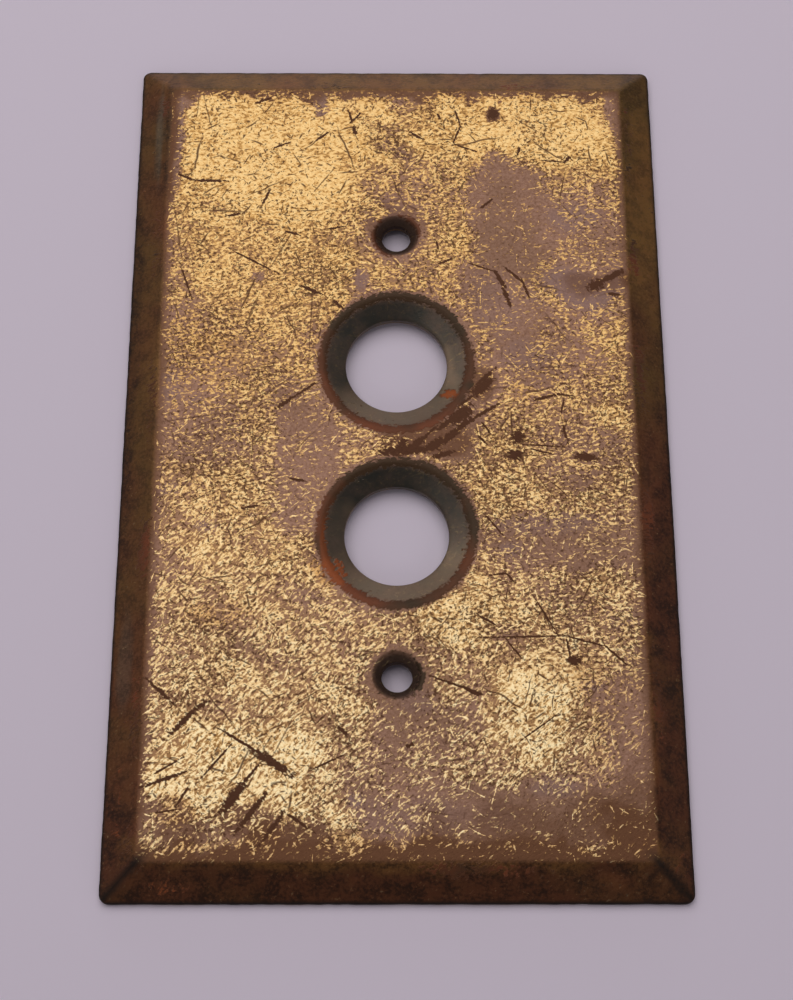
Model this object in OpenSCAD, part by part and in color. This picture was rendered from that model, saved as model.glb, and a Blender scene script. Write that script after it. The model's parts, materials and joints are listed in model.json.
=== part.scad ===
// Cover plate for a wall switch with two push buttons, pressed from one piece of brass sheet.
// The plate lies on its back: X runs across it, Y along it, and +Z points out of its face.
// The origin is the middle of the back, on the plane that rests on the wall.

/* [Plate] */
// Width of the plate over its cut edges
plate_w = 69.85; // [50:0.05:120]
// Length of the plate over its cut edges
plate_h = 114.3; // [90:0.05:180]
// Height of the face above the wall
plate_depth = 3.15; // [2.5:0.05:8]
// Thickness of the sheet
sheet_t = 0.8; // [0.5:0.05:1]
// Slope of the border strips, in degrees down from the face
bevel_angle = 29.5; // [20:0.5:45]
// Outside radius of the fold between the face and a border strip
fold_r = 1.8; // [1.2:0.1:2.5]
// Radius of the plate's four corners, seen from above
corner_r = 1.2; // [0.8:0.1:3]
// Width of the flat dressed along the edge, which rests on the wall
land_w = 0.4; // [0.2:0.05:0.6]

/* [Button openings] */
// Distance between the centres of the two button openings
button_spacing = 23.45; // [20:0.05:30]
// Diameter of the hole that a button passes through
button_hole_d = 13.1; // [8:0.1:16]
// Width of the dish's slope, from its hole out to the face
button_slope_w = 2.95; // [1.8:0.05:4]
// Drop from the face to the top of the hole's wall
button_drop = 1.35; // [0.6:0.05:1.5]
// Length of the hole's wall
button_wall_h = 0.75; // [0.4:0.05:0.9]
// Radius of the soft edge where the face turns down into the dish
button_edge_r = 1.4; // [0.3:0.1:1.8]

/* [Screw holes] */
// Distance between the centres of the two fixing screws
screw_spacing = 60.325; // [55:0.005:85]
// Diameter of the hole that a screw passes through
screw_hole_d = 3.8; // [2.6:0.1:5.5]
// Width of the dish's slope, from its hole out to the face
screw_slope_w = 1.1; // [0.8:0.05:1.6]
// Drop from the face to the top of the hole's wall
screw_drop = 0.9; // [0.5:0.05:1.1]
// Length of the hole's wall
screw_wall_h = 1.15; // [0.5:0.05:1.2]
// Radius of the soft edge where the face turns down into the dish
screw_edge_r = 0.6; // [0.3:0.1:1]

/* [Hidden] */
$fn = 96;
// Wall left at the tips of the plate's corners, where the hollow has round corners too
corner_wall = 0.3;
// Least width of metal round a hole, at the bottom of its wall
lip_w = 0.5;
// How far a cutting shape passes the surfaces that it cuts
over = 1;
// Height of the cut edge, from the wall up to the border's outer surface
edge_h = sheet_t / cos(bevel_angle) - land_w * tan(bevel_angle);
// Width of a border strip, seen from above
bevel_w = (plate_depth - edge_h) / tan(bevel_angle);

// A bend of this radius and angle starts and ends this far from the sharp corner that it rounds.
function bend_reach(r, angle) = r * tan(angle / 2);

// Section across the folded sheet's outer or inner surface, centred on x = 0. The flat top is at
// height top, the sharp corner under each fold is at fold_x, and the slopes run down to bottom.
module section(fold_x, top, r, bottom) {
    reach = bend_reach(r, bevel_angle);
    arc_x = fold_x - reach;
    slope_x = fold_x + reach * cos(bevel_angle);
    slope_z = top - reach * sin(bevel_angle);
    foot_x = fold_x + (top - bottom) / tan(bevel_angle);
    polygon([
        [-foot_x, bottom], [foot_x, bottom], [slope_x, slope_z],
        [arc_x, top], [-arc_x, top], [-slope_x, slope_z]
    ]);
    for (side = [-1, 1])
        translate([side * arc_x, top - r])
            circle(r);
}

// Two sections crossed at right angles, which meet in mitred corners. The shape lies inset from
// the sheet's outer surface, measured square to it.
module pillow(inset, bottom) {
    fold_in = bevel_w + inset * tan(bevel_angle / 2);
    top = plate_depth - inset;
    intersection() {
        rotate([90, 0, 0])
            linear_extrude(plate_h + 2 * over, center = true)
                section(plate_w / 2 - fold_in, top, fold_r - inset, bottom);
        rotate([90, 0, 90])
            linear_extrude(plate_w + 2 * over, center = true)
                section(plate_h / 2 - fold_in, top, fold_r - inset, bottom);
    }
}

// Upright block with round corners
module block(w, h, r, bottom, top) {
    translate([0, 0, bottom])
        linear_extrude(top - bottom) {
            square([w - 2 * r, h], center = true);
            square([w, h - 2 * r], center = true);
            for (x = [-1, 1], y = [-1, 1])
                translate([x * (w / 2 - r), y * (h / 2 - r)])
                    circle(r);
        }
}

// The folded sheet before its holes are made, open at the back
module shell() {
    difference() {
        intersection() {
            pillow(0, -over);
            block(plate_w, plate_h, corner_r, 0, plate_depth + over);
        }
        intersection() {
            pillow(sheet_t, -2 * over);
            block(plate_w - 2 * corner_wall, plate_h - 2 * corner_wall,
                corner_r - corner_wall, -2 * over, plate_depth);
        }
    }
}

// Half section of the metal that a dish adds under the face, with the face at height 0: the
// slope's underside, which is parallel to its top, and the wall of the hole.
module dish_metal(hole_r, slope_w, drop, wall_h) {
    slope = atan(drop / slope_w);
    slope_bottom = -drop - sheet_t / cos(slope);
    inside_face = -sheet_t / 2;
    root_x = hole_r + (inside_face - slope_bottom) / tan(slope);
    intersection() {
        union() {
            polygon([
                [0, inside_face], [0, slope_bottom], [hole_r, slope_bottom], [root_x, inside_face]
            ]);
            translate([0, -drop - wall_h])
                square([hole_r + lip_w, drop + wall_h + inside_face]);
        }
        translate([0, -drop - wall_h])
            square([root_x, drop + wall_h + inside_face]);
    }
}

// Half section of what a dish takes away, with the face at height 0: the hole, the room over the
// slope, and the soft edge, which leaves a round shoulder on the sheet.
module dish_room(hole_r, slope_w, drop, edge_r) {
    slope = atan(drop / slope_w);
    reach = bend_reach(edge_r, slope);
    arc_x = hole_r + slope_w + reach;
    difference() {
        polygon([
            [0, over], [0, -plate_depth - over], [hole_r, -plate_depth - over], [hole_r, -drop],
            [hole_r + slope_w - reach * cos(slope), -reach * sin(slope)], [arc_x, 0], [arc_x, over]
        ]);
        translate([arc_x, -edge_r])
            circle(edge_r);
    }
}

// Puts a copy of a half section, turned about its hole, at each end of a spacing along Y.
module turned_pair(spacing) {
    for (side = [-1, 1])
        translate([0, side * spacing / 2, plate_depth])
            rotate_extrude()
                children();
}

module cover_plate() {
    color("#a98748")
        difference() {
            union() {
                shell();
                turned_pair(button_spacing)
                    dish_metal(button_hole_d / 2, button_slope_w, button_drop, button_wall_h);
                turned_pair(screw_spacing)
                    dish_metal(screw_hole_d / 2, screw_slope_w, screw_drop, screw_wall_h);
            }
            turned_pair(button_spacing)
                dish_room(button_hole_d / 2, button_slope_w, button_drop, button_edge_r);
            turned_pair(screw_spacing)
                dish_room(screw_hole_d / 2, screw_slope_w, screw_drop, screw_edge_r);
        }
}

cover_plate();
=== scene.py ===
"""Cover plate of aged brass sheet for a wall switch with two push buttons.

Run as a script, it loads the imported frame, presses the plate as one fine mesh, gives it its worn
brass finish, and lays out a pale floor, soft lights and a camera.
"""

import json
import math
from functools import partial

import bmesh
import bpy
import numpy as np
from bpy.props import FloatProperty, FloatVectorProperty, PointerProperty
from mathutils import Matrix, Vector


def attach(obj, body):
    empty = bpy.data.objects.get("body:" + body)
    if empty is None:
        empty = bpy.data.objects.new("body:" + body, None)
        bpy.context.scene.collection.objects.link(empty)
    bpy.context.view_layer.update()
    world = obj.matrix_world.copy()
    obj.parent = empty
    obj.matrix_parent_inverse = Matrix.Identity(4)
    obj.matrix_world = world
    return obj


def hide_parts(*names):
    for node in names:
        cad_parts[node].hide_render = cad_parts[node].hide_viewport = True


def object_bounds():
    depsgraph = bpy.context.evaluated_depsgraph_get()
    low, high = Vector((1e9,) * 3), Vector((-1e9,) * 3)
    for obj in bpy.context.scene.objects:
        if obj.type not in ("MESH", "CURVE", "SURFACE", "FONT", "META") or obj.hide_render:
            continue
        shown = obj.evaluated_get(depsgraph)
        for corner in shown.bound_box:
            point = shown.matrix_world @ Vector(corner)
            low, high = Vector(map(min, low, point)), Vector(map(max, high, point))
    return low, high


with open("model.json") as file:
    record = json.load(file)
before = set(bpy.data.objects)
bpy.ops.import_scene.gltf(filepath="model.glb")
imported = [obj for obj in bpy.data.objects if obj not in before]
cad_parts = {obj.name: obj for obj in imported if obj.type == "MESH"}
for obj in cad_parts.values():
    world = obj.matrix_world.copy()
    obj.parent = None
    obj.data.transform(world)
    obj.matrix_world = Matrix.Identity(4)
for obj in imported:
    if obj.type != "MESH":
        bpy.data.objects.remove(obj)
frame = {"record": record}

bl_info = {
    "name": "Switch Cover Plate",
    "version": (1, 0, 0),
    "blender": (4, 5, 0),
    "location": "3D View > Sidebar > Plate",
    "description": "Presses a two-button switch cover plate from aged brass sheet",
    "category": "Add Mesh",
}

MM = 0.001
WARM_WHITE, COOL_WHITE, ROOM_WHITE = "FFFAF6", "F8F4FF", "F2EEF4"
CAD_BOX = [list(corner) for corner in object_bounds()]
MOUNTS = {mount["name"]: mount for mount in frame["record"]["mounts"]}
BUTTON = MOUNTS["upper_button_opening"]
SCREWS = MOUNTS["fixing_screws"]


def linear(colour):
    """Turns an sRGB hex colour such as "C8A05A" into linear red, green and blue."""
    parts = [int(colour[i : i + 2], 16) / 255 for i in (0, 2, 4)]
    return [p / 12.92 if p <= 0.04045 else ((p + 0.055) / 1.055) ** 2.4 for p in parts]


# ---- Sizes, colours and stage, as a user would change them


def length(name, description, millimetres):
    """A length property, given in millimetres and kept in metres."""
    metres = millimetres * MM
    return FloatProperty(name=name, description=description, default=metres, unit="LENGTH", precision=5)


def tint(name, description, colour):
    """A colour property, given as sRGB hex."""
    start = linear(colour)
    return FloatVectorProperty(name=name, description=description, default=start, subtype="COLOR", size=3)


def watts(name, description, power):
    """The power of a light."""
    return FloatProperty(name=name, description=description, default=power, unit="POWER")


class PlateSizes(bpy.types.PropertyGroup):
    sheet_t: length("Sheet", "Thickness of the sheet", 0.8)
    bevel_angle: FloatProperty(
        name="Border slope", description="How far the border strips slope down from the face",
        default=math.radians(29.5), subtype="ANGLE",
    )
    fold_r: length("Fold radius", "Outside radius of the fold between face and border", 1.8)
    corner_r: length("Corner radius", "Radius of the plate's corners, seen from above", 1.2)
    land_w: length("Land", "Width of the flat along the edge that rests on the wall", 0.4)
    button_slope_w: length("Button dish slope", "Width of the slope round a button's hole", 2.95)
    button_drop: length("Button dish drop", "Drop from the face to a button hole's wall", 1.35)
    button_edge_r: length("Button dish edge", "Radius where the face turns into the dish", 1.4)
    screw_slope_w: length("Screw dish slope", "Width of the slope round a screw hole", 1.1)
    screw_drop: length("Screw dish drop", "Drop from the face to a screw hole's wall", 0.9)
    screw_wall_h: length("Screw hole wall", "Length of a screw hole's wall", 1.15)
    screw_edge_r: length("Screw dish edge", "Radius where the face turns into the dish", 0.6)
    burr_r: length("Cut edge radius", "How far the cut edges are worn round", 0.14)
    mitre_r: length("Mitre softness", "How far the mitred corners are worn round", 0.6)
    dent_depth: length("Dents", "Depth of the shallow dents and waves in the sheet", 0.05)
    nick_depth: length("Nicks", "Depth of the nicks along the cut edge", 0.06)
    spacing: length("Mesh spacing", "Distance between the mesh lines on the face", 0.5)


class BrassFinish(bpy.types.PropertyGroup):
    # The two glint colours are painted highlights: the paler colour the brightest grains take for their
    # sparkle.
    painted_glint: tint("Glint", "The cleanest brass, on the tops of the rubbing marks", "F3CF90")
    painted_glint_pale: tint("Pale glint", "The same where the brass has been rubbed to a paler tone", "FFEBBC")
    gold: tint("Bright brass", "Where rubbing keeps the brass clean", "D2A15D")
    # The pale colours, of brass and of glint, are laid on more towards the bottom of the face.
    gold_pale: tint("Pale brass", "Clean brass that has been rubbed to a paler tone", "E4BC80")
    gold_deep: tint("Yellowed brass", "Brass under a thin film of tarnish", "B98B4A")
    # The amber colour also lies along the top border as a painted sheen.
    amber: tint("Amber stain", "Brass under an orange film", "C88F4A")
    tarnish: tint("Tarnish", "Even mauve film on handled brass", "A8826F")
    tarnish_warm: tint("Warm tarnish", "Browner film", "96735F")
    # The dark tarnish colour is also painted shade near the folds.
    tarnish_dark: tint("Dark tarnish", "Thick film near the folds", "70492F")
    violet: tint("Violet tarnish", "Film that has turned greyer and bluer", "8C7270")
    grime: tint("Grime", "What fills scratches and pits", "55331F")
    border: tint("Border brown", "Film on the sloped borders", "7A472B")
    border_olive: tint("Border olive", "Greener film on the borders", "77592B")
    # The patina colour also paints a sheen along the upper left border.
    patina: tint("Patina", "Grey-green film on the borders", "7A7868")
    rust: tint("Rust", "Rust along edges and round the openings", "7E4222")
    rust_dark: tint("Dark rust", "Older rust", "453018")
    rust_orange: tint("Orange rust", "Fresh rust", "B85A1C")
    steel: tint("Worn dish", "Grey film on the slopes round the openings", "7A6B5A")
    # The cooler dish colour is painted shade, on the far side of each button dish.
    steel_blue: tint("Worn dish, cooler", "Bluer film on the same slopes", "4C4B46")
    # The soot colour is near-black painted shade: the cut edge, the mitres, the screw dishes and the
    # darkest borders.
    soot: tint("Soot", "Blackened grime in the deepest corners", "1C1410")
    back: tint("Back", "Dull film on the side that faces the wall", "8A6A3C")
    back_dark: tint("Back, darker", "Thicker film on the same side", "5C4630")


class StageSettings(bpy.types.PropertyGroup):
    floor: tint("Floor", "Colour of the matt floor", "F2E8FA")
    camera_at: FloatVectorProperty(
        name="Camera place", description="Where the camera stands", subtype="TRANSLATION",
        unit="LENGTH", default=(-1.77 * MM, -93.86 * MM, 223.35 * MM),
    )
    camera_aim: FloatVectorProperty(
        name="Camera aim", description="The point in the middle of the view", subtype="TRANSLATION",
        unit="LENGTH", default=(-0.03 * MM, -7.46 * MM, 3.15 * MM),
    )
    camera_roll: FloatProperty(
        name="Camera roll", description="How far the camera leans", default=math.radians(1.13),
        subtype="ANGLE",
    )
    lens: FloatProperty(name="Lens", description="Focal length, in millimetres", default=68.08)
    key_power: watts("Key light", "Power of the overhead panel", 2.4)
    fill_power: watts("Fill light", "Power of each side panel", 0.15)
    far_power: watts("Far light", "Power of the low panel beyond", 0.9)
    near_power: watts("Near light", "Power of each panel low at the front", 1.2)
    room: FloatProperty(
        name="Room light", description="Strength of the light from all round", default=0.1,
    )


# ---- The plate's shape


def plane_waves(x, y, wavelength, seed, count=10):
    """Smooth bumps from about -1 to 1: the sum of sine waves that run in random directions."""
    rng = np.random.default_rng(seed)
    heading, phase = rng.uniform(0, 2 * np.pi, (2, count))
    pitch = 2 * np.pi / (wavelength * rng.uniform(0.7, 1.5, count))
    run = x[..., None] * np.cos(heading) + y[..., None] * np.sin(heading)
    return np.sin(run * pitch + phase).sum(-1) / math.sqrt(count)


def mesh_lines(stops):
    """Line positions from -end to end. stops lists each stretch of the half as (its end, spacing)."""
    half, start = [np.zeros(1)], 0.0
    for end, spacing in stops:
        half.append(np.linspace(start, end, max(1, math.ceil((end - start) / spacing - 1e-6)) + 1)[1:])
        start = end
    half = np.concatenate(half)
    return np.concatenate([-half[:0:-1], half])


def grid_quads(index):
    """Quads between neighbouring rows and columns of a grid of vertex numbers."""
    return np.stack([index[:-1, :-1], index[:-1, 1:], index[1:, 1:], index[1:, :-1]], -1)


def ring_quads(rings, around):
    """Quads between closed rings of vertices, numbered ring by ring."""
    index = np.arange(rings * around).reshape(rings, around)
    return grid_quads(np.concatenate([index, index[:, :1]], 1)).reshape(-1, 4)


class PlateShape:
    """The sheet's surfaces, in metres, worked out from the sizes and the frame."""

    def __init__(self, sizes):
        self.sizes = sizes
        low, high = (np.array(corner) for corner in CAD_BOX)
        self.half_w, self.half_h = (high - low)[:2] / 2
        self.top = high[2]
        self.slope = math.tan(sizes.bevel_angle)
        self.edge_h = sizes.sheet_t / math.cos(sizes.bevel_angle) - sizes.land_w * self.slope
        self.bevel_w = (self.top - self.edge_h) / self.slope
        reach = sizes.fold_r * math.tan(sizes.bevel_angle / 2)
        self.fold_in = self.bevel_w + reach
        self.fold_out = self.bevel_w - reach * math.cos(sizes.bevel_angle)

    def inset(self, x, y):
        """Distance in from the cut edge, blended where two borders meet: the smaller of the
        distances to the two nearest sides, less a rounding that is widest where they are equal."""
        dx, dy = self.half_w - np.abs(x), self.half_h - np.abs(y)
        soft = self.sizes.mitre_r
        near = np.clip(0.5 + 0.5 * (dy - dx) / soft, 0, 1)
        return dy + near * (dx - dy) - soft * near * (1 - near)

    def outer(self, x, y):
        """Height of the outer surface: slope, then the fold's arc, then the level face."""
        d, r = self.inset(x, y), self.sizes.fold_r
        arc = self.top - r + np.sqrt(np.maximum(r**2 - np.clip(self.fold_in - d, 0, r) ** 2, 0))
        return np.where(d < self.fold_out, self.edge_h + d * self.slope, arc)

    def inner(self, x, y):
        """Height of the back: the land, the slope one sheet below the outer one, the arc, the face."""
        d, r = self.inset(x, y), self.sizes.fold_r - self.sizes.sheet_t
        reach = r * math.tan(self.sizes.bevel_angle / 2)
        tangent = self.fold_in - reach - reach * math.cos(self.sizes.bevel_angle)
        past = np.clip(self.fold_in - d, 0, r)
        arc = self.top - self.sizes.fold_r + np.sqrt(np.maximum(r**2 - past**2, 0))
        return np.where(d < tangent, np.maximum(d - self.sizes.land_w, 0) * self.slope, arc)

    def round_corners(self, x, y):
        """Maps the square corners of a rectangle to round ones: each corner square (p, q) of the
        corner's radius goes to (p * sqrt(1 - q*q/2), q * sqrt(1 - p*p/2)), a quarter disc."""
        burr = self.sizes.burr_r
        r = self.sizes.corner_r - burr
        flat_w, flat_h = self.half_w - burr - r, self.half_h - burr - r
        p, q = np.maximum(np.abs(x) - flat_w, 0) / r, np.maximum(np.abs(y) - flat_h, 0) / r
        bent_x = flat_w + r * p * np.sqrt(1 - q * q / 2)
        bent_y = flat_h + r * q * np.sqrt(1 - p * p / 2)
        corner = (p > 0) & (q > 0)
        return np.where(corner, np.sign(x) * bent_x, x), np.where(corner, np.sign(y) * bent_y, y)

    def outward(self, x, y):
        """Unit vector in plan from the nearest point of the plate's straight-sided core."""
        r = self.sizes.corner_r
        core_x = np.clip(x, r - self.half_w, self.half_w - r)
        core_y = np.clip(y, r - self.half_h, self.half_h - r)
        away = np.stack([x - core_x, y - core_y], -1)
        return away / np.maximum(np.linalg.norm(away, axis=-1, keepdims=True), 1e-9)


def dish_profile(shape, hole_r, slope_w, drop, wall_h, edge_r):
    """Section of a dish as radii and heights, from the face over its soft edge, down the slope, over
    the worn lip, down the hole's wall, and back under the slope to the face's underside."""
    sheet = shape.sizes.sheet_t
    slope = math.atan2(drop, slope_w)
    start = hole_r + slope_w + edge_r * math.tan(slope / 2)
    turn = np.linspace(0, slope, 6)
    shoulder = np.stack([start - edge_r * np.sin(turn), -edge_r * (1 - np.cos(turn))], -1)
    lip = shape.sizes.burr_r
    lip_turn = np.linspace(slope, np.pi / 2, 5)
    curl = np.stack([hole_r + lip * (1 - np.sin(lip_turn)), -lip * (1 - np.cos(lip_turn))], -1)
    curl[:, 1] += -drop + (curl[0, 0] - hole_r) * math.tan(slope) - curl[0, 1]
    steps = max(2, math.ceil((shoulder[-1, 0] - curl[0, 0]) / (0.8 * shape.sizes.spacing)))
    down = np.linspace(shoulder[-1], curl[0], steps + 1)[1:-1]
    floor = -drop - wall_h
    under = sheet / math.cos(slope)
    least_metal = 0.5 * MM
    root = hole_r + (drop + under - sheet) / math.tan(slope)
    meet = hole_r + max(least_metal, (under - wall_h) / math.tan(slope))
    meet_z = -drop - under + (meet - hole_r) * math.tan(slope)
    wall = np.array([
        [hole_r, 0.5 * (curl[-1, 1] + floor)], [hole_r, floor + 0.5 * lip],
        [hole_r + 0.15 * lip, floor + 0.15 * lip], [hole_r + 0.5 * lip, floor],
        [meet - 0.1 * lip, floor], [meet, floor + 0.1 * lip],
    ])
    back = np.linspace([meet + 0.05 * lip, meet_z], [root, -sheet], 5)
    profile = np.concatenate([shoulder, down, curl, wall, back])
    return profile[:, 0], shape.top + profile[:, 1]


def dish_block(shape, centre_y, half, sides, profile):
    """A square tile of the sheet with a dish in its middle, as rings. Rings outside the dish run
    from the square to the circle in straight lines; the rest follow the dish's section."""
    x_lines, y_lines = sides
    xs = x_lines[np.abs(x_lines) <= half + 1e-9]
    ys = y_lines[np.abs(y_lines - centre_y) <= half + 1e-9] - centre_y
    square = np.concatenate([
        np.stack([xs[:-1], np.full(len(xs) - 1, -half)], -1),
        np.stack([np.full(len(ys) - 1, half), ys[:-1]], -1),
        np.stack([xs[:0:-1], np.full(len(xs) - 1, half)], -1),
        np.stack([np.full(len(ys) - 1, -half), ys[:0:-1]], -1),
    ])
    reach = np.linalg.norm(square, axis=1)
    radii, heights = profile
    count = max(3, math.ceil((half * 1.2 - radii[0]) / shape.sizes.spacing))
    share = np.linspace(0, 1, count, endpoint=False)[:, None]
    top_rings = reach * (1 - share) + radii[0] * share
    back_rings = (reach * (1 - share) + radii[-1] * share)[::-1]
    middle = np.repeat(radii[:, None], len(reach), 1)
    rings = np.concatenate([top_rings, middle, back_rings])
    level = np.concatenate([
        np.full(count, shape.top), heights, np.full(count, shape.top - shape.sizes.sheet_t)
    ])
    plan = square / reach[:, None] * rings[..., None]
    points = np.concatenate([plan, np.broadcast_to(level[:, None, None], rings.shape + (1,))], -1)
    points[..., 1] += centre_y
    return points.reshape(-1, 3), ring_quads(*rings.shape)


def sheet_patches(shape, x_lines, y_lines, tiles):
    """The outer and inner skins on one grid, without the square tiles that hold the dishes."""
    flat_x, flat_y = np.meshgrid(x_lines, y_lines)
    x, y = shape.round_corners(flat_x, flat_y)
    index = np.arange(x.size).reshape(x.shape)
    mid_x = (flat_x[:-1, :-1] + flat_x[1:, 1:]) / 2
    mid_y = (flat_y[:-1, :-1] + flat_y[1:, 1:]) / 2
    kept = np.ones(mid_x.shape, bool)
    for centre_y, half in tiles:
        kept &= (np.abs(mid_x) > half) | (np.abs(mid_y - centre_y) > half)
    quads = grid_quads(index)[kept]
    rim = np.concatenate([index[0, :-1], index[:-1, -1], index[-1, :0:-1], index[:0:-1, 0]])
    skins = [np.stack([x, y, height(x, y)], -1).reshape(-1, 3) for height in (shape.outer, shape.inner)]
    return skins, quads, rim


def edge_strip(shape, top_rim, back_rim):
    """The cut edge: rings that run round the plate, over the worn top corner, down the cut and
    round the bottom corner to the land."""
    burr = shape.sizes.burr_r
    outward = shape.outward(top_rim[:, 0], top_rim[:, 1])
    turn = np.radians([0, 30, 60, 90])
    out = np.concatenate([burr * np.sin(turn), [burr, burr, 0.8 * burr, 0.4 * burr, 0]])
    fall = burr * (0.5 * np.sin(turn) + 0.8 * (1 - np.cos(turn)))
    heights = [top_rim[:, 2] - f for f in fall]
    heights += [back_rim[:, 2] + up for up in (2.2 * burr, 0.7 * burr, 0.2 * burr, 0, 0)]
    plan = top_rim[:, :2] + outward * out[:, None, None]
    points = np.concatenate([plan, np.stack(heights)[..., None]], -1)
    return points.reshape(-1, 3), ring_quads(len(out), len(top_rim))


def plate_patches(shape):
    """All of the plate's patches, as vertices in metres and quads."""
    sizes = shape.sizes
    button_y, screw_y = BUTTON["pos_m"][1], SCREWS["dims"]["spacing_y_mm"] / 2 * MM
    button_half = button_y
    screw_half = screw_y - 2 * button_y
    fold = (shape.fold_in - shape.fold_out) / 5
    corner = sizes.corner_r - sizes.burr_r

    def stops(half, first):
        edge = half - sizes.burr_r
        return first + [
            (half - shape.fold_in, sizes.spacing), (half - shape.fold_out, fold),
            (edge - corner, sizes.spacing), (edge, corner / 6),
        ]

    x_lines = mesh_lines(stops(shape.half_w, [
        (screw_half, sizes.spacing), (button_half, sizes.spacing)
    ]))
    y_lines = mesh_lines(stops(shape.half_h, [
        (2 * button_half, sizes.spacing), (screw_y + screw_half, sizes.spacing)
    ]))
    tiles = [(side * button_y, button_half) for side in (-1, 1)]
    tiles += [(side * screw_y, screw_half) for side in (-1, 1)]
    (outer, inner), quads, rim = sheet_patches(shape, x_lines, y_lines, tiles)
    patches = [(outer, quads), (inner, quads[:, ::-1]), edge_strip(shape, outer[rim], inner[rim])]
    button = dish_profile(
        shape, BUTTON["dims"]["r_mm"] * MM, sizes.button_slope_w, sizes.button_drop,
        BUTTON["dims"]["length_mm"] * MM, sizes.button_edge_r,
    )
    screw = dish_profile(
        shape, SCREWS["dims"]["hole_r_mm"] * MM, sizes.screw_slope_w, sizes.screw_drop,
        sizes.screw_wall_h, sizes.screw_edge_r,
    )
    for centre_y, half in tiles:
        profile = button if half == button_half else screw
        patches.append(dish_block(shape, centre_y, half, (x_lines, y_lines), profile))
    return patches


def handle_roughly(shape, points):
    """Dents, waves and nicks. The sheet sinks by up to the dents' depth, less near the wall, and
    the cut edge moves in by up to the nicks' depth."""
    x, y, z = points.T
    sizes = shape.sizes
    still, fade = 0.2 * MM, 1.2 * MM
    waves = plane_waves(x, y, 38 * MM, 3) + 0.5 * plane_waves(x, y, 11 * MM, 4)
    sink = sizes.dent_depth * np.clip(0.5 + 0.22 * waves, 0, 1)
    z = z - sink * np.clip((z - still) / fade, 0, 1)
    near_edge = np.clip(1 - shape.inset(x, y) / fade, 0, 1)
    chips = plane_waves(x, y, 5 * MM, 5) + 0.8 * plane_waves(x, y, 1.6 * MM, 6)
    nick = sizes.nick_depth * np.clip(0.35 + 0.3 * chips, 0, 1) * near_edge
    plan = np.stack([x, y], -1) - shape.outward(x, y) * nick[:, None]
    return np.concatenate([plan, z[:, None]], -1)


def press_plate(sizes):
    """Joins the patches into one closed mesh and puts the object at the origin."""
    shape = PlateShape(sizes)
    patches = plate_patches(shape)
    offsets = np.cumsum([0] + [len(points) for points, _ in patches[:-1]])
    points = handle_roughly(shape, np.concatenate([points for points, _ in patches]))
    quads = np.concatenate([quads + start for (_, quads), start in zip(patches, offsets)])
    mesh = bpy.data.meshes.new("cover_plate_finished")
    mesh.from_pydata(points.tolist(), [], quads.tolist())
    work = bmesh.new()
    work.from_mesh(mesh)
    seam_gap = 0.002 * MM
    bmesh.ops.remove_doubles(work, verts=work.verts, dist=seam_gap)
    bmesh.ops.delete(work, geom=[v for v in work.verts if not v.link_faces], context="VERTS")
    bmesh.ops.recalc_face_normals(work, faces=work.faces)
    work.to_mesh(mesh)
    work.free()
    mesh.polygons.foreach_set("use_smooth", np.ones(len(mesh.polygons), bool))
    plate = bpy.data.objects.new("cover_plate_finished", mesh)
    bpy.context.scene.collection.objects.link(plate)
    return shape, plate


# ---- Where the finish has worn, and where light and shade are painted, as numbers on the mesh

# Patches of the face: middle x and y, half width, half height in millimetres, and how much bright
# brass the patch takes away, from 0 to 1, or gives back where it is negative.
TARNISHED = (
    (-17, 45, 16, 12, -0.4), (14, 47.5, 17, 6.5, -0.36), (25, 42.5, 6, 4, -0.15), (-1, 43, 7, 5.5, 0.1),
    (-1, 49, 6, 4, 0.16), (0, -53.2, 34, 1.8, 0.4), (-20, -43, 11, 6.5, -0.26),
    (-15, -34, 14, 6, -0.08), (7, -22, 6, 4.5, -0.2), (16.5, -34, 5, 7, -0.26),
    (-17, 28, 13, 12, -0.16), (7, 30.5, 3, 5.5, -0.1), (14, -5, 4, 5, -0.1), (28, 17, 3.5, 3, -0.1),
    (28.5, 4, 2.5, 2, -0.1), (-19, -12, 8, 8, -0.08), (-4, -48, 9, 2.5, -0.12),
    (15.3, 34, 5.6, 8.5, 0.42), (14, 21, 5.5, 8, 0.34), (13.5, 41, 1.6, 2.4, 0.4),
    (-29.7, 46, 1.2, 9, 0.5), (-18.5, -47.9, 4.4, 2, 0.35), (-27.5, -46.5, 3, 1.5, 0.25),
    (-12, -49.7, 4, 2, 0.35), (-25, -49.2, 4, 1.6, 0.3), (24.5, 28, 6, 9, 0.2),
    (25, 22.8, 4.2, 2.2, 0.3), (24, 18, 4.5, 5, 0.12), (17, 12, 6, 5, 0.16),
    (-11.5, -2.5, 4.2, 8.5, 0.3), (-12.5, 6.5, 4, 3.5, 0.14), (-25.5, 3, 6, 5.5, 0.14),
    (-28.5, 8.5, 3, 3, 0.16), (5.5, 2, 5, 3.6, 0.46), (10.5, 8.5, 2.6, 3, 0.3),
    (21.5, -13, 10.5, 3.6, 0.26), (23, -1, 5, 4, 0.12), (0, 32, 4.8, 4.6, 0.14),
    (0, -31, 4.4, 4.6, 0.14), (3.5, -36, 5.5, 3.2, 0.26), (-1, -42, 5.5, 4, 0.16), (6, -48, 10, 4, 0.3),
    (18, -47.5, 8.5, 4.5, 0.34), (29, -48, 4.2, 6.5, 0.55), (28.5, -36, 4, 9, 0.24),
    (-10.2, 50.2, 1.1, 2.4, 0.6), (29.6, 49.5, 1.2, 3.6, 0.6), (-29, 51.3, 2.2, 1.6, 0.6),
    (-26.5, 18, 3, 3, 0.12), (-4.6, 23.5, 0.9, 2, 0.5), (13.2, 49, 0.9, 1.2, 0.7),
    (-18.2, 24, 0.8, 0.6, 0.5), (24, -1.6, 1.7, 0.5, 0.6),
)
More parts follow.
